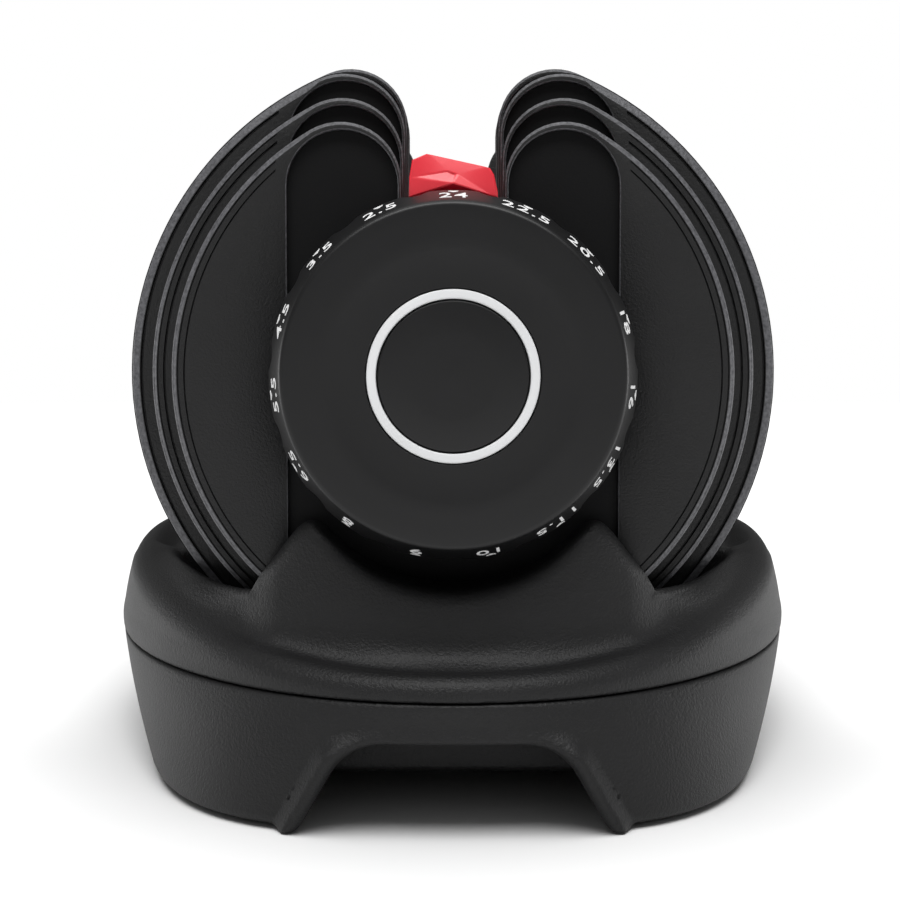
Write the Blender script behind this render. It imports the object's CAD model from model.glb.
import math

import bmesh
import bpy
import numpy as np
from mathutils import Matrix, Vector


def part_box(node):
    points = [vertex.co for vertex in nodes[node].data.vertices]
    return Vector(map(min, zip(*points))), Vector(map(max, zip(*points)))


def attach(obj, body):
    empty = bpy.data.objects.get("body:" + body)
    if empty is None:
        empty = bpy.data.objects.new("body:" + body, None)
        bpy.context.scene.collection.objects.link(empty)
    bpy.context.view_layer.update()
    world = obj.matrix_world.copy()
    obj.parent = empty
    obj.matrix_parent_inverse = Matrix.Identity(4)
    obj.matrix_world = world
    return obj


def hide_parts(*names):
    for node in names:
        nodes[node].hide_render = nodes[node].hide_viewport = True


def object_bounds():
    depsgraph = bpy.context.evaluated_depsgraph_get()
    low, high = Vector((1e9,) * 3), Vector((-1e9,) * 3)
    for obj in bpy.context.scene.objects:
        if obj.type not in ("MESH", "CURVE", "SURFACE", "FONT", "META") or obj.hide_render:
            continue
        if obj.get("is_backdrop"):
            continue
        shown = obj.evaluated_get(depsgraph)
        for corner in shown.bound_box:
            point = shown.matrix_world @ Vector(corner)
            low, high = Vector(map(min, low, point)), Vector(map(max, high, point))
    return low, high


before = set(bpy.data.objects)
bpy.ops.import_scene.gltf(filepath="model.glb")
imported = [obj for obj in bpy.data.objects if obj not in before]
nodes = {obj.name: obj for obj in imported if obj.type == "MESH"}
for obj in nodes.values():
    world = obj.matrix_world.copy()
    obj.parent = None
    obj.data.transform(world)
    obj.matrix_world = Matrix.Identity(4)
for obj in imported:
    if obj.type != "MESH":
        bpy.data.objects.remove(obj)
low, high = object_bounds()
print("frame loaded")

# Shapes are worked out in millimetres and turned to metres when a mesh is made
axisHeight = (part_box("handle_rod")[0].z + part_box("handle_rod")[1].z) * 500
ends = ("near", "far")

cameraSet = {"distance": 652, "height": 129, "aside": -0.9, "tilt": 3.19, "lens": 66.04}
camera = bpy.data.objects.new("camera", bpy.data.cameras.new("camera"))
bpy.context.scene.collection.objects.link(camera)
camera.data.lens = cameraSet["lens"]
camera.data.sensor_width = 36
camera.location = (cameraSet["aside"] / 1000, -cameraSet["distance"] / 1000, cameraSet["height"] / 1000)
camera.rotation_euler = (math.radians(90 - cameraSet["tilt"]), 0, 0)
bpy.context.scene.camera = camera

# Soft boxes: place in metres, width and height of the box in metres, power in watts
lightSet = {
    "front": (0.0, -0.75, 1.25, 1.3, 0.5, 18), "top": (0.0, 0.2, 1.4, 1.0, 0.8, 2.5),
    "left": (-1.2, 0.42, 0.17, 1.0, 0.3, 2.8), "right": (1.2, 0.42, 0.17, 1.0, 0.3, 2.8)}
allButFloor = bpy.data.collections.new("all_but_floor")
for name, (x, y, z, wide, tall, power) in lightSet.items():
    lamp = bpy.data.objects.new("light_" + name, bpy.data.lights.new("light_" + name, "AREA"))
    lamp.data.shape = "RECTANGLE"
    lamp.data.size = wide
    lamp.data.size_y = tall
    lamp.data.energy = power
    lamp.location = (x, y, z)
    lamp.rotation_euler = (Vector((0, 0, 0.1)) - lamp.location).to_track_quat("-Z", "Y").to_euler()
    lamp.light_linking.receiver_collection = allButFloor
    bpy.context.scene.collection.objects.link(lamp)

# A wide, very soft light straight down, for the floor only, keeps it white out to the horizon
skySet = {"power": 3.65, "spread": 65}
sky = bpy.data.objects.new("light_sky", bpy.data.lights.new("light_sky", "SUN"))
sky.data.energy = skySet["power"]
sky.data.angle = math.radians(skySet["spread"])
bpy.context.scene.collection.objects.link(sky)
sky.light_linking.receiver_collection = bpy.data.collections.new("floor_only")

# The backdrop is plain white to look at, and dimmer as a light, like a white room behind soft boxes
roomLight = 0.2
world = bpy.data.worlds.new("studio")
bpy.context.scene.world = world
world.use_nodes = True
room = world.node_tree
room.nodes["Background"].inputs["Color"].default_value = (1, 1, 1, 1)
room.nodes["Background"].inputs["Strength"].default_value = roomLight
backdrop = room.nodes.new("ShaderNodeBackground")
backdrop.inputs["Color"].default_value = (1, 1, 1, 1)
choose = room.nodes.new("ShaderNodeMixShader")
room.links.new(room.nodes.new("ShaderNodeLightPath").outputs["Is Camera Ray"], choose.inputs[0])
room.links.new(room.nodes["Background"].outputs[0], choose.inputs[1])
room.links.new(backdrop.outputs[0], choose.inputs[2])
room.links.new(choose.outputs[0], room.nodes["World Output"].inputs["Surface"])
bpy.context.scene.view_settings.view_transform = "Standard"
print("camera and lights set")


def linear(code):
    parts = [int(code[k:k + 2], 16) / 255 for k in (1, 3, 5)]
    return [c / 12.92 if c <= 0.04045 else ((c + 0.055) / 1.055) ** 2.4 for c in parts] + [1]


def add(tree, kind, settings=None, inputs=None):
    node = tree.nodes.new(kind)
    for name, value in (settings or {}).items():
        setattr(node, name, value)
    for name, value in (inputs or {}).items():
        socket = node.inputs[name]  # by name, or by number where two share one
        if isinstance(value, bpy.types.NodeSocket):
            tree.links.new(value, socket)
        else:
            socket.default_value = value
    return node


# What the finishes share: a colour that drifts a little, a fine surface grain and uneven gloss.
# grain is its pitch in millimetres and deep its height; drift is the size of the colour's patches in
# millimetres, sharp how much fine detail the grain has, and level how strongly a plain surface reflects
def finish(name, colour, other, rough, grain, deep, spread=0.06, drift=35, metallic=0, ior=1.5,
           sharp=0.5, level=0.5):
    material = bpy.data.materials.new(name)
    material.use_nodes = True
    tree = material.node_tree
    shader = tree.nodes["Principled BSDF"]
    place = add(tree, "ShaderNodeTexCoord").outputs["Object"]
    fine = add(tree, "ShaderNodeTexNoise", None, {
        "Vector": place, "Scale": 1000 / grain, "Detail": 2.0, "Roughness": sharp})
    cloud = add(tree, "ShaderNodeTexNoise", None, {"Vector": place, "Scale": 1000 / drift, "Detail": 3.0})
    tint = add(tree, "ShaderNodeValToRGB", None, {"Fac": cloud.outputs["Fac"]})
    tint.color_ramp.elements[0].position = 0.35
    tint.color_ramp.elements[1].position = 0.65
    tint.color_ramp.elements[0].color = linear(colour)
    tint.color_ramp.elements[1].color = linear(other)
    gloss = add(tree, "ShaderNodeMath", {"operation": "MULTIPLY_ADD"}, {
        0: fine.outputs["Fac"], 1: spread, 2: rough})
    smudge = add(tree, "ShaderNodeMath", {"operation": "MULTIPLY_ADD"}, {
        0: cloud.outputs["Fac"], 1: spread, 2: 0.0})
    both = add(tree, "ShaderNodeMath", {"operation": "ADD"}, {0: gloss.outputs[0], 1: smudge.outputs[0]})
    bump = add(tree, "ShaderNodeBump", None, {
        "Height": fine.outputs["Fac"], "Strength": 1.0, "Distance": deep / 1000})
    tree.links.new(tint.outputs["Color"], shader.inputs["Base Color"])
    tree.links.new(both.outputs[0], shader.inputs["Roughness"])
    tree.links.new(bump.outputs["Normal"], shader.inputs["Normal"])
    shader.inputs["Metallic"].default_value = metallic
    if not metallic:
        shader.inputs["IOR"].default_value = ior
        shader.inputs["Specular IOR Level"].default_value = level
    return material


# Black ABS with a spark eroded grain, on the tray: matt, with a pebbled skin that scatters the light.
# The real grain is about 0.3 mm; it is drawn at 0.9 mm so that it shows
grainedAbs = finish("ABS, moulded, spark eroded grain, black", "#0c0c0d", "#101011", 0.48, 0.9, 0.3,
                    sharp=0.75, level=0.38)
# Black ABS with a sanded skin, on the plates: dull, and its edges pick up speckled light.
# The real skin is finer than 0.2 mm; it is drawn at 0.8 mm so that it shows
sandAbs = finish("ABS, moulded, sanded, black", "#0a0a0b", "#0e0e0f", 0.42, 0.8, 0.2, sharp=0.7, level=0.42)
# Its raised edges are rubbed paler, more in some places than in others
rubbedSet = {"colour": "#727276", "patch": 1.1}
skin = sandAbs.node_tree
shader = skin.nodes["Principled BSDF"]
plain = shader.inputs["Base Color"].links[0].from_socket
patchy = add(skin, "ShaderNodeTexNoise", None, {
    "Vector": skin.nodes["Texture Coordinate"].outputs["Object"], "Scale": 1000 / rubbedSet["patch"],
    "Detail": 2.0})
edges = add(skin, "ShaderNodeAttribute", {"attribute_name": "rubbed"})
amount = add(skin, "ShaderNodeMath", {"operation": "MULTIPLY"}, {
    0: edges.outputs["Fac"], 1: patchy.outputs["Fac"]})
mixed = add(skin, "ShaderNodeMix", {"data_type": "RGBA"}, {
    0: amount.outputs[0], 6: plain, 7: linear(rubbedSet["colour"])})
skin.links.new(mixed.outputs[2], shader.inputs["Base Color"])
# Black ABS from a plain mould, on the dial and the lock housings: even satin sheen
satinAbs = finish("ABS, moulded, satin, black", "#0b0b0c", "#0e0e0f", 0.36, 1.4, 0.015, level=0.38)
# Red ABS: clear strong colour with a satin skin
redAbs = finish("ABS, moulded, satin, red", "#df1129", "#e7152e", 0.38, 1.6, 0.02, level=0.9)
# Pale grey ABS, on the dial's ring: smooth, nearly white beside the black
paleAbs = finish("ABS, moulded, satin, pale grey", "#d2d3d4", "#dadbdc", 0.4, 1.6, 0.01)
# White pad printing ink, on the dial's numbers: flat and slightly uneven
printedInk = finish("pad printing ink, white", "#e6e6e6", "#f2f2f2", 0.6, 0.5, 0.01)
# Steel with a sprayed and baked powder coat, on the plates' cores: soft orange peel
coatedSteel = finish("steel, powder coated, black", "#070708", "#0a0a0b", 0.5, 1.1, 0.05, level=0.15)
# Turned steel with bright zinc on it, on rod, bolts and screws: cool grey mirror with faint dullness
zincSteel = finish("steel, turned, zinc plated", "#b3b6b9", "#c3c5c7", 0.26, 0.7, 0.006,
                   metallic=1, drift=12)
# Drawn spring wire: darker and oily
springSteel = finish("spring steel, drawn", "#7f8184", "#929497", 0.3, 0.4, 0.004, metallic=1, drift=4)
# Extruded aluminium, on the tube inside the grip: pale grey with a soft sheen
tubeAluminium = finish("aluminium, extruded", "#c8c9ca", "#d2d3d4", 0.34, 0.8, 0.01, metallic=1, drift=10)
# Sintered bronze, in the bracket's bushing: warm, dull and slightly porous
sinterBronze = finish("bronze, sintered", "#9b7446", "#b0875a", 0.42, 0.5, 0.03, metallic=1, drift=5)
# Glass filled nylon, on the selector discs: dark, with pale flow marks
filledNylon = finish("nylon, glass filled, moulded, black", "#161617", "#1f1f21", 0.46, 0.6, 0.03,
                     ior=1.53, drift=14)
# Natural acetal, on the lock's slider and wheel: milky and smooth
acetal = finish("acetal, moulded, natural", "#d9d4c6", "#e3dfd3", 0.34, 1.5, 0.008, ior=1.48)
# Moulded rubber, on the grip and the feet: deep black, hardly any gloss
rubber = finish("rubber, moulded, black", "#0b0b0c", "#101011", 0.62, 0.6, 0.05, ior=1.52)
# Matt white paint, on the studio floor
floorPaint = finish("emulsion paint, matt white", "#f4f4f4", "#f6f6f6", 0.85, 2.0, 0.01,
                    spread=0.02, drift=400)
print("materials made")


def makePiece(name, points, faces, material, smoothAngle=None, normals=None, closed=False):
    mesh = bpy.data.meshes.new(name)
    mesh.from_pydata((np.asarray(points, float) / 1000).tolist(), [], [list(map(int, f)) for f in faces])
    if closed:  # makes every face of a closed body look outwards
        work = bmesh.new()
        work.from_mesh(mesh)
        bmesh.ops.recalc_face_normals(work, faces=work.faces)
        work.to_mesh(mesh)
        work.free()
    mesh.update()
    piece = bpy.data.objects.new(name, mesh)
    bpy.context.scene.collection.objects.link(piece)
    mesh.materials.append(material)
    mesh.polygons.foreach_set("use_smooth", [True] * len(mesh.polygons))
    if smoothAngle:
        mesh.set_sharp_from_angle(angle=math.radians(smoothAngle))
    if normals is not None:
        mesh.normals_split_custom_set_from_vertices(np.asarray(normals, float).tolist())
    return piece


def roundEdges(piece, wide, angle):
    bevel = piece.modifiers.new("edge", "BEVEL")
    bevel.width = wide / 1000
    bevel.segments = 2
    bevel.limit_method = "ANGLE"
    bevel.angle_limit = math.radians(angle)
    bevel.use_clamp_overlap = True


def smoothMin(a, b, r):
    h = np.clip(0.5 + 0.5 * (b - a) / r, 0, 1)
    return b + (a - b) * h - r * h * (1 - h)


def smoothMax(a, b, r):
    return -smoothMin(-a, -b, r)


def ease(t):
    t = np.clip(t, 0, 1)
    return t * t * (3 - 2 * t)


# Distance inwards from a rounded oval outline; it is fuller than an ellipse when n is over 2
def insetFrom(x, y, a, b, n):
    x, y = np.maximum(x, 0), np.maximum(y, 0)
    full = np.maximum((x / a) ** n + (y / b) ** n, 1e-3) ** (1 / n)
    steep = np.hypot((x / a) ** (n - 1) / a, (y / b) ** (n - 1) / b) * full ** (1 - n)
    return (1 - full) / np.maximum(steep, 1e-4)


# Meshes the zero level of a smooth field: one point in each cell it passes through, then moved onto it
def meshField(field, size, cell):
    quarter = [np.arange(0, size[0] + cell, cell), np.arange(0, size[1] + cell, cell),
               np.arange(size[2], size[3] + cell, cell)]
    values = field(*np.meshgrid(*quarter, indexing="ij"))
    values = np.concatenate([values[:0:-1], values], 0)
    values = np.concatenate([values[:, :0:-1], values], 1)
    start = np.array([-quarter[0][-1], -quarter[1][-1], quarter[2][0]])
    inside = values < 0
    corners = [(i, j, k) for i in (0, 1) for j in (0, 1) for k in (0, 1)]
    nx, ny, nz = [s - 1 for s in values.shape]
    count = sum(inside[i:i + nx, j:j + ny, k:k + nz].astype(np.int8) for i, j, k in corners)
    cells = np.argwhere((count > 0) & (count < 8))
    at = {c: values[cells[:, 0] + c[0], cells[:, 1] + c[1], cells[:, 2] + c[2]] for c in corners}
    total = np.zeros((len(cells), 3))
    hits = np.zeros(len(cells))
    for c in corners:
        for axis in range(3):
            if c[axis] == 0:
                d = tuple(v + (k == axis) for k, v in enumerate(c))
                crossed = (at[c] < 0) != (at[d] < 0)
                t = np.where(crossed, at[c] / np.where(crossed, at[c] - at[d], 1), 0)
                spot = np.array(c, float) + np.outer(t, np.eye(3)[axis])
                total += spot * crossed[:, None]
                hits += crossed
    points = start + (cells + total / hits[:, None]) * cell
    ids = np.full((nx, ny, nz), -1)
    ids[tuple(cells.T)] = np.arange(len(cells))
    faces = []
    for axis in range(3):
        one = np.moveaxis(inside, axis, 0)
        grid = np.moveaxis(ids, axis, 0)
        change = one[:-1] != one[1:]
        spots = np.argwhere(change)
        spots = spots[(spots[:, 1] > 0) & (spots[:, 2] > 0)
                      & (spots[:, 1] < grid.shape[1]) & (spots[:, 2] < grid.shape[2])]
        i, j, k = spots.T
        quad = np.stack([grid[i, j - 1, k - 1], grid[i, j, k - 1], grid[i, j, k], grid[i, j - 1, k]], 1)
        flip = one[i, j, k] ^ (axis == 1)
        quad[~flip] = quad[~flip][:, ::-1]
        faces.append(quad)
    faces = np.concatenate(faces)
    reach = 0.05

    def slope(p):
        return np.stack([(field(*(p + reach * e).T) - field(*(p - reach * e).T)) / (2 * reach)
                         for e in np.eye(3)], 1)

    for settle in range(3):  # three steps bring nearly every point onto the surface
        g = slope(points)
        push = field(*points.T) / np.maximum((g * g).sum(1), 0.05)
        points = points - g * np.clip(push, -0.4 * cell, 0.4 * cell)[:, None]
    g = slope(points)
    return points, faces, g / np.maximum(np.linalg.norm(g, axis=1), 1e-6)[:, None]


# Tray, in millimetres: the seam's oval, the rolled rim above it, the block around the wells, its sloping
# shoulders, the stands that carry the lock housings, and the foot
traySet = {
    "a": high.x * 1000 - 0.8, "b": high.y * 1000 - 0.8, "seamFull": 2.1, "seam": 36.5,
    "bulge": 0.3, "bulgeTall": 8, "shell": 3,
    "rim": 43, "rise": 22.3, "lean": 0.25, "wallFrom": 40, "valley": 2.4, "valleyMore": 0.12, "deck": 37,
    "blockA": 8, "blockB": 23, "blockFull": 2.6, "saddle": 3, "hump": 4.5, "wellTop": 60,
    "shoulder": 60.5, "shoulderTop": 84.5, "shoulderFrom": 150, "dialRoom": 49, "dialRoomDown": 11,
    "standAt": 60.2, "standWide": 26, "standDeep": 4.9, "standTop": 86, "standRoom": 48.3,
    "notchWide": 12.3, "notchFoot": 71.7,
    "footA": 20, "footB": 2, "footFull": 3.3, "gap": 0.3, "lift": 1.2}
wellSet = {"half": 102, "long": 203, "full": 2.1, "from": 25, "over": 35, "play": 0.4}
plateEdges = []
for i in range(1, 6):
    lo, hi = [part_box("plate_covers_%d_near" % i)[k] for k in (0, 1)]
    plateEdges.append({"r": hi.x * 1000, "out": -lo.y * 1000, "in": -hi.y * 1000})


def crestHeight(y):
    return traySet["rim"] + traySet["rise"] * (1 - np.minimum(y / traySet["b"], 1) ** 2) ** 1.2


# Distance to the room that the plates need: it widens from their edges to an oval opening on top
def pitDistance(x, y, z):
    w = wellSet
    known = [(plateEdges[4]["in"] - 3, plateEdges[4]["r"] + 2)]
    known += [(p["out"] + 0.5, p["r"] + 1) for p in reversed(plateEdges)]
    below = np.interp(y, *zip(*known))
    reach = np.minimum(y, w["long"] - 1) / w["long"]
    side = w["half"] * np.maximum(1 - reach ** w["full"], 1e-3) ** (1 / w["full"])
    above = np.hypot(side, axisHeight - traySet["wellTop"])
    limit = below + np.maximum(above - below, 0) * ease((z - w["from"]) / w["over"])
    along = np.maximum(plateEdges[4]["in"] - w["play"] - y, y - plateEdges[0]["out"] - w["play"])
    return smoothMax(np.hypot(x, z - axisHeight) - limit, along, 1.2)


def upperBody(x, y, z):
    t = traySet
    crest = crestHeight(y)
    leanIn = t["lean"] * (crest - t["rim"])
    s = insetFrom(x, y, t["a"], t["b"], t["seamFull"])
    up = np.clip((z - t["wallFrom"]) / np.maximum(crest - t["wallFrom"], 1), 0, 1.2)
    swell = np.sin(np.pi * np.clip((z - t["seam"]) / t["bulgeTall"], 0, 1))
    wall = leanIn * up ** 1.5 - t["bulge"] * swell
    valley = crest - t["valley"] - t["valleyMore"] * (crest - t["rim"])
    top = crest + (valley - crest) * ease((s - 4 - leanIn) / 10)
    top = top - (valley - t["deck"]) * ease((s - 16 - leanIn) / 12)
    rim = smoothMax(wall - s, (z - top) * 0.8, 5)
    forward = t["saddle"] * (1 - ease((x - 50) / 14))
    inBlock = insetFrom(x, y, t["a"] - t["blockA"], t["b"] - t["blockB"] + forward, t["blockFull"])
    sideways = (x / t["a"]) ** 2 / ((x / t["a"]) ** 2 + (y / t["b"]) ** 2 + 0.01)
    side = (0.1 + 2.4 * sideways ** 2) * np.maximum(z - valley, 0) - inBlock
    slope = (x - t["shoulder"]) * 0.796 + (z - t["wellTop"]) * 0.606
    shoulders = smoothMax(smoothMax(slope, z - t["shoulderTop"], 7), t["shoulderFrom"] - y, 1.5)
    lip = t["wellTop"] + t["hump"] * np.sin(np.pi * np.clip((y - 62) / 108, 0, 1)) ** 2
    block = smoothMax(smoothMin(z - lip, shoulders, 15), smoothMax(side, wall + 3.5 - s, 4), 5)
    dialRoom = t["dialRoom"] - np.hypot(x, z - axisHeight + t["dialRoomDown"])
    block = smoothMax(smoothMax(block, dialRoom, 5), 62.6 - y, 1.5)
    body = smoothMin(rim, block, 7)
    stand = smoothMax(x - t["standWide"], np.abs(y - t["standAt"]) - t["standDeep"], 1.5)
    housingRoom = t["standRoom"] - np.hypot(x, z - axisHeight)
    stand = smoothMax(smoothMax(stand, z - t["standTop"], 1.5), housingRoom, 1)
    stand = np.maximum(stand, -np.maximum(x - t["notchWide"], t["notchFoot"] - z))
    return smoothMin(body, stand, 2)


def upperShell(x, y, z):
    x, y = np.abs(x), np.abs(y)
    t = traySet
    free = upperBody(x, y, z)
    pit = pitDistance(x, y, z)
    low = t["seam"] - 8 * ease((insetFrom(x, y, t["a"], t["b"], t["seamFull"]) - 4) / 6) - z
    outer = smoothMin(smoothMax(free, low, 1.2), smoothMax(pit - t["shell"], z - t["wellTop"], 1), 1)
    inner = smoothMax(free + t["shell"] + 1, 6 - pit, 1)
    return smoothMax(smoothMax(outer, -pit, 2.4), -inner, 0.8)


def makeTray():
    points, faces, normals = meshField(upperShell, (125, 218, 6, 88), 1.35)
    piece = makePiece("tray_top_shell", points, faces, grainedAbs, normals=normals)
    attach(piece, "tray")
    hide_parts("tray_upper")
    print("tray top", len(faces))


makeTray()


# Hand recess at each end: splayed straight legs, a flat top with rounded corners, and a rolled lip
archSet = {"foot": 42.6, "splay": 0.57, "top": 24.9, "corner": 9, "lip": 3.2, "wall": 4.4, "deep": 26,
           "from": 150, "backFoot": 11}


# Lower shell: its outline changes from a boxy foot to the oval of the seam
def lowerShell(x, y, z):
    x, y = np.abs(x), np.abs(y)
    t = traySet
    h = archSet
    up = np.clip((z - t["lift"]) / (t["seam"] - t["gap"] - t["lift"]), 0, 1)
    s = insetFrom(x, y, t["a"] - t["footA"] * (1 - up), t["b"] - t["footB"] * (1 - up),
                  t["footFull"] - (t["footFull"] - t["seamFull"]) * up)
    leg = (x - h["foot"] + h["splay"] * z) / math.hypot(1, h["splay"])
    arch = smoothMax(leg, z - h["top"], h["corner"])
    roll = np.maximum(1 - ((arch - 3.2) / 4.2) ** 2, 0) ** 1.5
    s = s + h["lip"] * roll * (y > h["from"]) * ease((h["top"] + 4 - z) / 8)
    bottom = t["lift"] - 0.8 * (y > h["from"]) * ease(1 - (arch - 4) / 3) - z
    outer = smoothMax(smoothMax(-s, bottom, 3), z - t["seam"] + t["gap"], 1.2)
    hollow = smoothMin(smoothMax(t["shell"] - s, t["lift"] + t["shell"] - z, 3), 13 - s, 2)
    back = t["b"] - t["footB"] - h["deep"]
    tunnel = smoothMax(smoothMax(arch - h["wall"], back - t["shell"] - y, 1), -s, 1)
    tunnel = smoothMax(tunnel, 0.4 - z, 1)
    cut = np.maximum(arch, back - y)
    below = smoothMax(y - back, z - h["backFoot"], 1)
    tunnel = smoothMax(tunnel, -smoothMax(below, arch - h["wall"], 0.5), 1)
    body = smoothMin(smoothMax(outer, -hollow, 1), tunnel, 1)
    return smoothMax(body, -cut, 2.6)


def makeLowerTray():
    points, faces, normals = meshField(lowerShell, (125, 219, -1.5, 38), 1.25)
    piece = makePiece("tray_bottom_shell", points, faces, grainedAbs, normals=normals)
    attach(piece, "tray")
    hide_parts("tray_lower")
    print("tray bottom", len(faces))


makeLowerTray()


# An end piece is drawn looking out along the handle: x across, y up from the axis, u outwards
def atEnd(points, end):
    x, y, u = np.asarray(points, float).T
    turn = 1 if end == "near" else -1
    return np.stack([turn * x, -turn * u, y + axisHeight], 1)


# Plate covers: ears and trim are given from plate 1, beside the dial, to plate 5; room is how high the
# cut-out for the discs reaches above the axis
plateSet = {
    "slot": 15, "ears": (17.6, 18.5, 19.4, 18.6, 20.4), "trim": (0, 0, 0.5, 0, 0), "lip": 1.5,
    "tall": 2.7, "room": 45, "crown": 2.6, "crownDrop": 0.75, "spacing": 2.5}
# Grooves of each plate: distance from its edge, width and depth
grooveSet = {1: [(1.7, 0.45, 0.5), (3.6, 0.5, 0.9)], 2: [(1.6, 0.4, 0.4), (3.4, 0.8, 1.3)],
             3: [(2.7, 0.95, 1.5)], 4: [(2.7, 0.95, 1.5)], 5: [(2.7, 0.95, 1.5)]}


def arcPoints(cx, cy, r, start, stop, spacing):
    count = max(2, int(abs(stop - start) * r / spacing))
    angles = np.linspace(start, stop, count + 1)
    return [(cx + r * math.cos(a), cy + r * math.sin(a)) for a in angles]


def linePoints(x0, y0, x1, y1, spacing):
    count = max(1, int(math.hypot(x1 - x0, y1 - y0) / spacing))
    return [(x0 + (x1 - x0) * k / count, y0 + (y1 - y0) * k / count) for k in range(count + 1)]


def plateForm(i):
    r = plateEdges[i - 1]["r"] - plateSet["trim"][i - 1]
    ear = plateSet["ears"][i - 1]
    earX = plateSet["slot"] + ear
    earY = math.sqrt((r - ear) ** 2 - earX ** 2)
    tongue = ear - plateSet["lip"]
    return {
        "r": r, "ear": ear, "earX": earX, "earY": earY, "tongue": tongue, "tongueY": earY - 0.8,
        "tongueX": plateSet["slot"] + 1 + tongue, "strip": plateSet["slot"] + 2 * tongue + 1}


# One lobe of a cover, right of the slot, as a closed outline; with its tongue cut out or without
def lobeOutline(i, tongued):
    f = plateForm(i)
    slot, gap, room = [plateSet[k] for k in ("slot", "spacing", "room")]
    touch = math.atan2(f["earY"], f["earX"])
    c = f["strip"]
    points = arcPoints(0, 0, f["r"], -math.acos(c / f["r"]), touch, gap)
    points += arcPoints(f["earX"], f["earY"], f["ear"], touch, math.pi, gap)[1:]
    points += linePoints(slot, f["earY"], slot, room, gap)[1:]
    if tongued:
        points += [(slot + 1, room)]
        points += linePoints(slot + 1, room, slot + 1, f["tongueY"], gap)[1:]
        points += arcPoints(f["tongueX"], f["tongueY"], f["tongue"], math.pi, 0, gap)[1:]
        points += linePoints(c, f["tongueY"], c, room, gap)[1:]
    else:
        points += [(c, room)]
    points += linePoints(c, room, c, -math.sqrt(f["r"] ** 2 - c ** 2), gap)[1:-1]
    return np.array(points)


# How wide the rounding may be at each point: narrow along the lip and at inner edges
def roundings(i, points, wide, narrow):
    f = plateForm(i)
    x, y = points.T
    outer = np.abs(np.hypot(x, y) - f["r"]) < 0.01
    onEar = (np.abs(np.hypot(x - f["earX"], y - f["earY"]) - f["ear"]) < 0.01) & (y >= f["earY"] - 0.01)
    room = np.hypot(x - f["tongueX"], y - f["tongueY"]) - f["tongue"]
    width = np.full(len(points), narrow)
    width[outer] = wide
    width[onEar] = np.minimum(wide, 0.45 * np.abs(room[onEar]))
    width[(x < plateSet["slot"] + 0.01) & ~onEar] = 0.45
    width[np.hypot(x - f["strip"], y + math.sqrt(f["r"] ** 2 - f["strip"] ** 2)) < 0.01] = narrow
    for smoothing in range(3):
        soft = (np.roll(width, 1) + width + np.roll(width, -1)) / 3
        width = np.minimum(width, soft)
    return width


def unit(vectors):
    return vectors / np.maximum(np.linalg.norm(vectors, axis=1), 1e-9)[:, None]


# Direction into a closed outline at each point, longer at corners so that a wall keeps its thickness
def inwards(points):
    before = points - np.roll(points, 1, 0)
    after = np.roll(points, -1, 0) - points
    n1 = unit(np.stack([-before[:, 1], before[:, 0]], 1))
    n2 = unit(np.stack([-after[:, 1], after[:, 0]], 1))
    n = unit(n1 + n2)
    return n / np.maximum((n * n1).sum(1), 0.6)[:, None]


mouldSet = {"foot": 0.25, "edge": 0.9, "flatten": 0.8, "steps": 4, "grooveLip": 0.12, "grooveLipDeep": 0.15,
            "grooveFoot": 0.14}


def loopEdges(mesh, ring):
    return [mesh.edges.get((ring[k], ring[(k + 1) % len(ring)])) for k in range(len(ring))]


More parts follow.
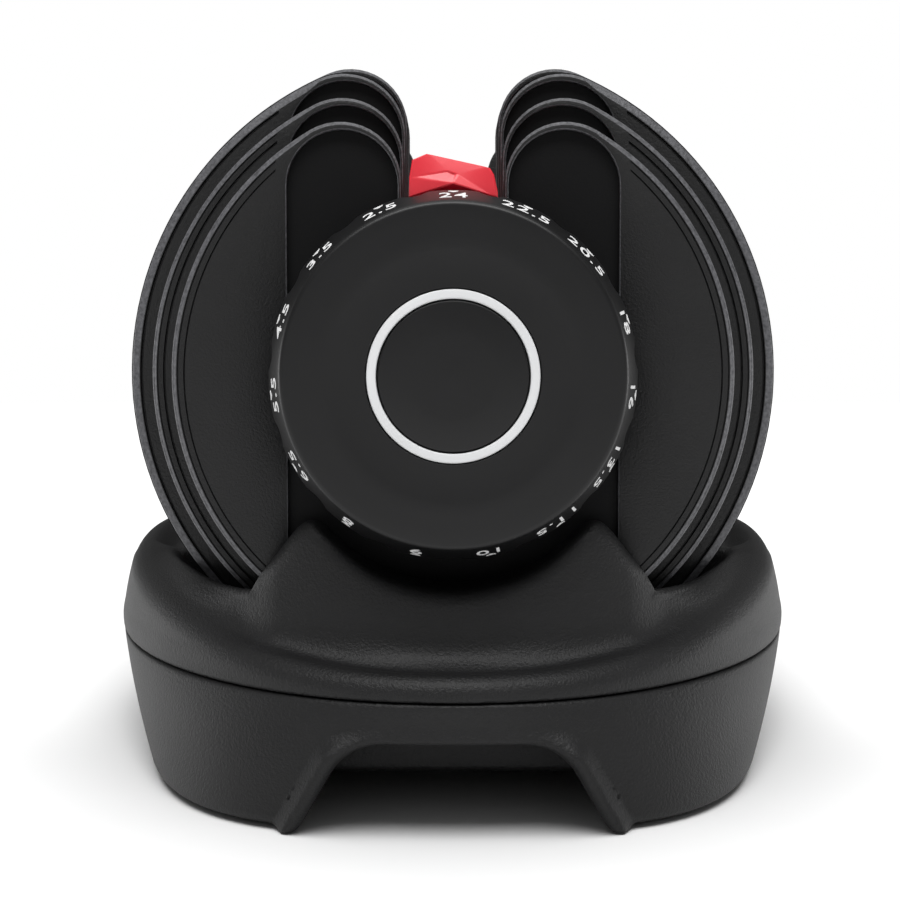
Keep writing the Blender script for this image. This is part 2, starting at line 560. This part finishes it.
# Builds one moulded slab: rings up its wall, a rounded edge, and a flat face with grooves let into it
def moulded(mesh, outline, width, crown, bottom, top, grooves, mirror, downwards=False):
    m = mouldSet
    side = -1 if mirror else 1
    flip = -1 if downwards else 1
    base, tip = (top, bottom) if downwards else (bottom, top)
    normal = inwards(outline)
    rubbed = mesh.verts.layers.float["rubbed"]

    def ring(points, heights, rub=0.0):
        made = [mesh.verts.new((side * p[0] / 1000, p[1] / 1000, h / 1000))
                for p, h in zip(points, heights)]
        for vert in made:
            vert[rubbed] = rub
        return made

    def join(loops):
        for a, b in zip(loops[:-1], loops[1:]):
            for k in range(len(a)):
                n = (k + 1) % len(a)
                quad = (a[k], a[n], b[n], b[k])
                mesh.faces.new(quad if (side == 1) != downwards else quad[::-1])

    rings = [ring(outline + normal * m["foot"], np.full(len(outline), base)),
             ring(outline, np.full(len(outline), base + flip * m["foot"]))]
    edgeWide = np.minimum(width, m["edge"])
    for k in range(m["steps"] + 1):
        a = math.pi / 2 * k / m["steps"]
        drop = edgeWide * (1 - math.sin(a)) + crown * width / max(width.max(), 0.1)
        move = edgeWide * (1 - math.cos(a)) * m["flatten"]
        rub = 1.0 if crown else 0.4 * (k < m["steps"])
        rings.append(ring(outline + normal * move[:, None], tip - flip * drop, rub))
    if crown:
        for share in (0.45, 0.9, 1.0):
            move = edgeWide * m["flatten"] * (1 - share) + width * share
            drop = crown * width / width.max() * (1 - share) ** 1.6
            rings.append(ring(outline + normal * move[:, None], tip - flip * drop, float(share < 1)))
    join(rings)
    edges = loopEdges(mesh, rings[-1])
    for r0, r1, deep, edgeX in grooves:
        a0, a1 = math.acos(edgeX / r0), math.acos(edgeX / r1)
        loop = np.array(arcPoints(0, 0, r0, -a0, a0, 2) + arcPoints(0, 0, r1, a1, -a1, 2))
        n = inwards(loop)
        walls = [ring(loop, np.full(len(loop), tip)),
                 ring(loop + n * m["grooveLip"], np.full(len(loop), tip - flip * m["grooveLipDeep"])),
                 ring(loop + n * m["grooveFoot"], np.full(len(loop), tip - flip * deep))]
        join(walls)
        bmesh.ops.triangle_fill(mesh, use_beauty=True, edges=loopEdges(mesh, walls[-1]))
        edges += loopEdges(mesh, walls[0])
    bmesh.ops.triangle_fill(mesh, use_beauty=True, edges=edges)
    bmesh.ops.triangle_fill(mesh, use_beauty=True, edges=loopEdges(mesh, rings[0]))


def makeCovers(i, end):
    edge = plateEdges[i - 1]
    f = plateForm(i)
    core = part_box("plate_core_%d_near" % i)
    coreIn = -core[1].y * 1000
    coreOut = edge["out"] - plateSet["tall"]
    mesh = bmesh.new()
    mesh.verts.layers.float.new("rubbed")
    front, back = lobeOutline(i, True), lobeOutline(i, False)
    grooves = [(f["r"] - at, f["r"] - at - wide, deep, f["strip"] + 3) for at, wide, deep in grooveSet[i]]
    crownWide = min(plateSet["crown"], grooveSet[i][0][0] - 0.15)
    for mirror in (False, True):
        frontWide = roundings(i, front, crownWide, 0.3)
        moulded(mesh, front, frontWide, plateSet["crownDrop"], coreOut, edge["out"], grooves, mirror)
        moulded(mesh, back, roundings(i, back, 1.0, 0.4), 0, edge["in"], coreIn, [], mirror, True)
    bmesh.ops.recalc_face_normals(mesh, faces=mesh.faces)
    data = bpy.data.meshes.new("plate_cover_%d_%s" % (i, end))
    mesh.to_mesh(data)
    mesh.free()
    places = np.zeros(len(data.vertices) * 3)
    data.vertices.foreach_get("co", places)
    places = atEnd(places.reshape(-1, 3) * 1000, end) / 1000
    data.vertices.foreach_set("co", places.ravel())
    data.polygons.foreach_set("use_smooth", [True] * len(data.polygons))
    data.set_sharp_from_angle(angle=math.radians(32))
    data.materials.append(sandAbs)
    piece = bpy.data.objects.new(data.name, data)
    bpy.context.scene.collection.objects.link(piece)
    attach(piece, "plate_%d_%s" % (i, end))
    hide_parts("plate_covers_%d_%s" % (i, end))
    return len(data.polygons)


count = sum(makeCovers(i, end) for i in range(1, 6) for end in ends)
print("plate covers", count)


# Corners given as (radius or x, u or y, rounding) become a smooth closed outline
def softened(corners, parts=4):
    points = []
    for k, (x, y, r) in enumerate(corners):
        near = (corners[k], corners[k - 1], corners[(k + 1) % len(corners)])
        here, before, after = [Vector(corner[:2]) for corner in near]
        if r == 0:
            points.append((x, y))
            continue
        a, b = (before - here).normalized(), (after - here).normalized()
        half = a.angle(b) / 2
        reach = min(r / math.tan(half), (before - here).length * 0.48, (after - here).length * 0.48)
        for step in range(parts + 1):
            t = step / parts
            p = here + a * reach * (1 - t) ** 2 + b * reach * t ** 2
            points.append((p.x, p.y))
    return points


# Turns an outline of (radius, u) once around the handle's axis; the outline may change with the angle
def turned(name, outlineAt, columns, material, end, smoothAngle=30):
    rings = [outlineAt(2 * math.pi * k / columns) for k in range(columns)]
    n = len(rings[0])
    points = [(r * math.sin(2 * math.pi * k / columns), r * math.cos(2 * math.pi * k / columns), u)
              for k, ring in enumerate(rings) for r, u in ring]
    faces = [(k * n + j, k * n + (j + 1) % n, (k + 1) % columns * n + (j + 1) % n, (k + 1) % columns * n + j)
             for k in range(columns) for j in range(n)]
    return makePiece(name, atEnd(points, end), faces, material, smoothAngle, closed=True)


# Dial: its numbers run clockwise from the top, seen from outside
dialSet = {
    "numbers": ("24", "22.5", "20.5", "18", "16", "13.5", "11.5", "10", "9", "8", "6.5", "5.5", "4.5", "3.5",
                "2.5"),
    "face": 46.2, "brow": 47.9, "rim": 51.6, "back": 50.6, "browIn": 2.6, "rimIn": 8.6,
    "scallop": 9, "scallopAt": 59.6, "dish": 35.4, "dishFrom": 23.9, "dishDeep": 0.5,
    "bore": 11.9, "hubIn": 13.2, "hubOut": 16, "seat": 20.6, "seatDeep": 8.2, "ringDeep": 3.8,
    "wallIn": 42.7, "wallDeep": 10.4, "ring": 23.6, "ringWide": 2.7,
    "textTall": 7.1, "textWide": 0.78, "textFoot": 4.9, "textRadius": 49.6, "markWide": 2.7, "markDeep": 2.4,
    "slopeShare": 0.963, "ink": 0.1, "inkShare": 0.7, "columns": 360}
dialFace = -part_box("dial_knob_near")[0].y * 1000
dialBack = -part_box("dial_knob_near")[1].y * 1000


def rimRadius(u):
    share = (dialFace - dialSet["browIn"] - u) / (dialFace - dialSet["browIn"] - dialBack - dialSet["rimIn"])
    return dialSet["brow"] + (dialSet["rim"] - dialSet["brow"]) * min(max(share, 0), 1)


# How far out the rim may reach at an angle from the top: less inside a finger scallop
def scallopRadius(angle):
    d = dialSet
    step = 2 * math.pi / len(d["numbers"])
    off = (angle % step) - step / 2
    across = d["scallopAt"] * math.sin(off)
    if abs(across) >= d["scallop"]:
        return d["rim"]
    return min(d["rim"], d["scallopAt"] * math.cos(off) - math.sqrt(d["scallop"] ** 2 - across ** 2))


def dialOutline(angle):
    d = dialSet
    top = dialFace
    reach = scallopRadius(angle)
    inner = softened([
        (d["bore"], dialBack, 0), (d["bore"], dialBack + 9, 0), (d["hubIn"], dialBack + 9, 0),
        (d["hubIn"], top - d["seatDeep"], 0), (d["seat"], top - d["seatDeep"], 0),
        (d["seat"], top - d["ringDeep"], 0), (d["dishFrom"], top - d["ringDeep"], 0)])
    bowl = [(r, top - d["dishDeep"] * (1 - ((r - d["dishFrom"]) / (d["dish"] - d["dishFrom"])) ** 2))
            for r in (24.1, 26, 28, 30, 32, 34)]
    face = [(d["dishFrom"], top - d["dishDeep"] - 0.3)] + bowl + [(d["dish"], top), (38, top), (42, top)]
    brow = softened([(42.1, top, 0), (d["face"] + 0.9, top, 2.4), (d["brow"], top - d["browIn"], 0)], 7)[:-1]
    low = top - d["browIn"]
    cross = low - (low - dialBack - d["rimIn"]) * (reach - d["brow"]) / (d["rim"] - d["brow"])
    cone = [(d["brow"] + (reach - d["brow"]) * t / 12, low + (cross - low) * t / 12) for t in range(13)]
    heel = dialBack + 1.5 * (reach - d["back"]) / (d["rim"] - d["back"])
    flank = [(reach, cross + (heel - cross) * t / 5) for t in range(1, 6)]
    rear = [(d["back"] - 0.4, dialBack), (43.4, dialBack), (42.8, dialBack + 0.6),
            (d["wallIn"], top - d["wallDeep"]), (d["hubOut"], top - d["wallDeep"]), (d["hubOut"], dialBack)]
    return inner + face + brow + cone + flank + rear


def makeDial(end):
    d = dialSet
    top = dialFace
    knob = turned("dial_body_" + end, dialOutline, d["columns"], satinAbs, end, 24)
    inside = d["ring"] - d["ringWide"] + 0.1
    ring = softened([(inside, top - d["ringDeep"], 0), (d["ring"], top - d["ringDeep"], 0),
                     (d["ring"], top - 0.5, 0.5), (inside, top - 0.5, 0.5)])
    ringPiece = turned("dial_ring_front_" + end, lambda angle: ring, 128, paleAbs, end)
    capEdge = d["ring"] - d["ringWide"] - 0.35
    cap = softened([(0.05, top - 7.2, 0), (13.4, top - 7.2, 0),
                    (13.4, top - d["seatDeep"], 0), (capEdge, top - d["seatDeep"], 0),
                    (capEdge, top - 0.9, 0.5), (12, top - 0.62, 3), (0.05, top - 0.5, 0)])
    capPiece = turned("dial_cap_front_" + end, lambda angle: cap, 128, satinAbs, end)
    made = ((knob, "dial_knob", "dial"), (ringPiece, "dial_ring", "ring"),
            (capPiece, "dial_cap", "dial_cap"))
    for piece, node, slot in made:
        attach(piece, "dial_" + end)
        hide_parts(node + "_" + end)


# Numbers and their pointing marks, printed on the rim in a skin of ink 0.14 mm thick, half of it sunk in
def makeNumbers(end):
    d = dialSet
    points, faces = [], []
    for k, words in enumerate(d["numbers"]):
        curve = bpy.data.curves.new("number", "FONT")
        curve.body = words
        curve.size = 10
        curve.space_character = 1.12
        curve.align_x = "CENTER"
        curve.extrude = d["ink"]
        curve.offset = 0.06
        curve.resolution_u = 3
        holder = bpy.data.objects.new("number", curve)
        mesh = bpy.data.meshes.new_from_object(holder)
        grow = d["textTall"] / max(v.co.y for v in mesh.vertices)
        flat = [(v.co.x * d["textWide"], v.co.y * grow, v.co.z) for v in mesh.vertices]
        shapes = [tuple(p.vertices) for p in mesh.polygons]
        bpy.data.objects.remove(holder)
        bpy.data.curves.remove(curve)
        bpy.data.meshes.remove(mesh)
        wide, foot, tip = d["markWide"] / 2, d["textTall"] + 0.3, d["textTall"] + 0.3 + d["markDeep"]
        mark = [(0, foot), (wide, tip - 0.7), (wide, tip), (-wide, tip), (-wide, tip - 0.7)]
        start = len(flat)
        flat += [(x, y, z) for z in (-d["ink"], d["ink"]) for x, y in mark]
        shapes += [tuple(range(start + 4, start - 1, -1)), tuple(range(start + 5, start + 10))]
        shapes += [(start + j, start + (j + 1) % 5, start + 5 + (j + 1) % 5, start + 5 + j)
                   for j in range(5)]
        centre = 2 * math.pi * k / len(d["numbers"])
        base = len(points)
        for x, y, z in flat:
            u = dialFace - d["textFoot"] - y * d["slopeShare"]
            r = rimRadius(u) + z * d["inkShare"]
            angle = centre + x / d["textRadius"]
            points.append((r * math.sin(angle), r * math.cos(angle), u))
        faces += [tuple(base + v for v in shape) for shape in shapes]
    piece = makePiece("dial_numbers_" + end, atEnd(points, end), faces, printedInk, 30, closed=True)
    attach(piece, "dial_" + end)


for end in ends:
    makeDial(end)
    makeNumbers(end)
print("dials")


# Red bracket's front over the dial: two slanting facets with a dark one under them
bracketSet = {
    "front": 181.1, "back": 180.3, "ridge": 182.3, "tip": 184.0, "round": 0.35,
    "edge": ((-12.6, 50.4), (-12.4, 56.1), (-11.6, 61.0), (-7.55, 62.7), (-6.05, 62.4), (8.55, 59.2),
             (10.45, 58.7), (11.5, 56.9), (12.6, 50.4), (5.0, 51.75), (-4.4, 51.75))}


def makeBracketFront(end):
    b = bracketSet
    points = [(x, y, b["front"]) for x, y in b["edge"]]
    points += [(-1.7, 57.7, b["ridge"]), (1.4, 56.8, b["ridge"] + 0.1), (-0.1, 56.8, b["ridge"] - 0.5),
               (0.1, 54.2, b["tip"])]
    points += [(x, y, b["back"]) for x, y in b["edge"]]
    m, n, k, t = 11, 12, 13, 14  # the ridge's two ends, the dip under it and the tip
    faces = [(10, 0, t), (0, 1, t), (1, m, k, t), (1, 2, m), (2, 3, m), (3, 4, m), (4, 5, n, m), (5, 6, n),
             (6, 7, n), (7, 8, n), (8, t, n), (n, t, k), (m, n, k), (8, 9, t), (9, 10, t),
             tuple(range(25, 14, -1))]
    faces += [(j, (j + 1) % 11, 15 + (j + 1) % 11, 15 + j) for j in range(11)]
    piece = makePiece("bridge_front_" + end, atEnd(points, end), faces, redAbs, 20, closed=True)
    roundEdges(piece, b["round"], 18)
    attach(piece, "handle")


for end in ends:
    makeBracketFront(end)

# Grip: a waisted rubber sleeve with a diamond pattern between two plain collars
gripSet = {"middle": 18, "ends": 15.5, "bore": 12.05, "collar": 6, "pitch": 4.2, "around": 26, "deep": 0.35,
           "endRound": 1.2, "columns": 312, "rows": 210}


def makeGrip():
    g = gripSet
    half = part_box("grip_rubber")[1].y * 1000
    alongs = np.linspace(-half, half, g["rows"])
    angles = np.arange(g["columns"]) * 2 * np.pi / g["columns"]
    along, angle = np.meshgrid(alongs, angles, indexing="ij")
    radius = g["ends"] + (g["middle"] - g["ends"]) * np.cos(np.pi / 2 * along / half)
    ridges = np.cos(g["around"] * angle + 2 * np.pi * along / g["pitch"] / 2)
    ridges = np.maximum(ridges, np.cos(g["around"] * angle - 2 * np.pi * along / g["pitch"] / 2))
    fade = ease((half - g["collar"] - np.abs(along)) / 2)
    rounded = g["endRound"] * ease((np.abs(along) - half + g["endRound"]) / g["endRound"])
    radius = radius - g["deep"] * fade * (1 - ease((ridges + 0.1) / 0.9)) - rounded
    x, z = radius * np.sin(angle), radius * np.cos(angle) + axisHeight
    outer = np.stack([x, along, z], -1).reshape(-1, 3)
    bore = [(g["bore"] * math.sin(a), y, g["bore"] * math.cos(a) + axisHeight)
            for y in (-half, half) for a in angles]
    n, rows = g["columns"], g["rows"]
    faces = [(r * n + c, r * n + (c + 1) % n, (r + 1) * n + (c + 1) % n, (r + 1) * n + c)
             for r in range(rows - 1) for c in range(n)]
    first, last = rows * n, rows * n + n
    faces += [(first + c, first + (c + 1) % n, (c + 1) % n, c) for c in range(n)]
    edge = (rows - 1) * n
    faces += [(edge + c, edge + (c + 1) % n, last + (c + 1) % n, last + c) for c in range(n)]
    faces += [(last + c, last + (c + 1) % n, first + (c + 1) % n, first + c) for c in range(n)]
    piece = makePiece("grip_sleeve", list(outer) + bore, faces, rubber, 50, closed=True)
    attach(piece, "handle")
    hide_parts("grip_rubber")


makeGrip()
print("grip")

# Rubber feet under the tray: low round pads with rounded edges, set a little in from the skirt
footSet = {"places": ((92, 30), (68, 168)), "radius": 5.5, "tall": 1.6, "columns": 32}


def makeFeet():
    f = footSet
    side = softened([(0.05, 0, 0), (f["radius"] - 0.2, 0, 0.7), (f["radius"], f["tall"], 0.3),
                     (0.05, f["tall"], 0)])
    n, columns = len(side), f["columns"]
    points, faces = [], []
    for sx in (-1, 1):
        for sy in (-1, 1):
            for px, py in f["places"]:
                base = len(points)
                for k in range(columns):
                    a = 2 * math.pi * k / columns
                    points += [(sx * px + r * math.cos(a), sy * py + r * math.sin(a), h) for r, h in side]
                for k in range(columns):
                    here, there = base + k * n, base + (k + 1) % columns * n
                    faces += [(here + j, here + (j + 1) % n, there + (j + 1) % n, there + j)
                              for j in range(n)]
    piece = makePiece("tray_pads", points, faces, rubber, 40, closed=True)
    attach(piece, "tray")
    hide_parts("tray_feet")


makeFeet()

# Parts that keep the frame's own mesh: finish, and how wide their edges are rounded in millimetres
nodeSet = {
    "handle_rod": (zincSteel, 0.5), "grip_core": (tubeAluminium, 0.4), "grip_rubber": (rubber, 0),
    "end_bolts": (zincSteel, 0.3), "housing_screws": (zincSteel, 0.25), "tray_screws": (zincSteel, 0.25),
    "tray_upper": (grainedAbs, 0), "tray_lower": (grainedAbs, 0), "tray_feet": (rubber, 0),
    "lock_housing": (satinAbs, 0.5), "lock_slider": (acetal, 0.3), "lock_spring": (springSteel, 0),
    "bridge": (redAbs, 0.5), "end_bushing": (sinterBronze, 0.2), "drive_sleeve": (zincSteel, 0.2),
    "index_wheel": (acetal, 0.2), "dial_knob": (satinAbs, 0), "dial_ring": (paleAbs, 0),
    "dial_cap": (satinAbs, 0), "selector_disc": (filledNylon, 0.4), "plate_core": (coatedSteel, 0.4),
    "plate_covers": (sandAbs, 0)}
for name, node in nodes.items():
    material, edge = next(value for start, value in nodeSet.items() if name.startswith(start))
    node.data.materials.clear()
    node.data.materials.append(material)
    if edge:
        roundEdges(node, edge, 40)
print("frame parts finished")

floorHalf = 4000
floorCorners = [(sx * floorHalf, sy * floorHalf, 0) for sx, sy in ((-1, -1), (1, -1), (1, 1), (-1, 1))]
floor = makePiece("floor", floorCorners, [(0, 1, 2, 3)], floorPaint)
floor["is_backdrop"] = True
sky.light_linking.receiver_collection.objects.link(floor)
allButFloor.objects.link(floor)
allButFloor.collection_objects[0].light_linking.link_state = "EXCLUDE"
low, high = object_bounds()
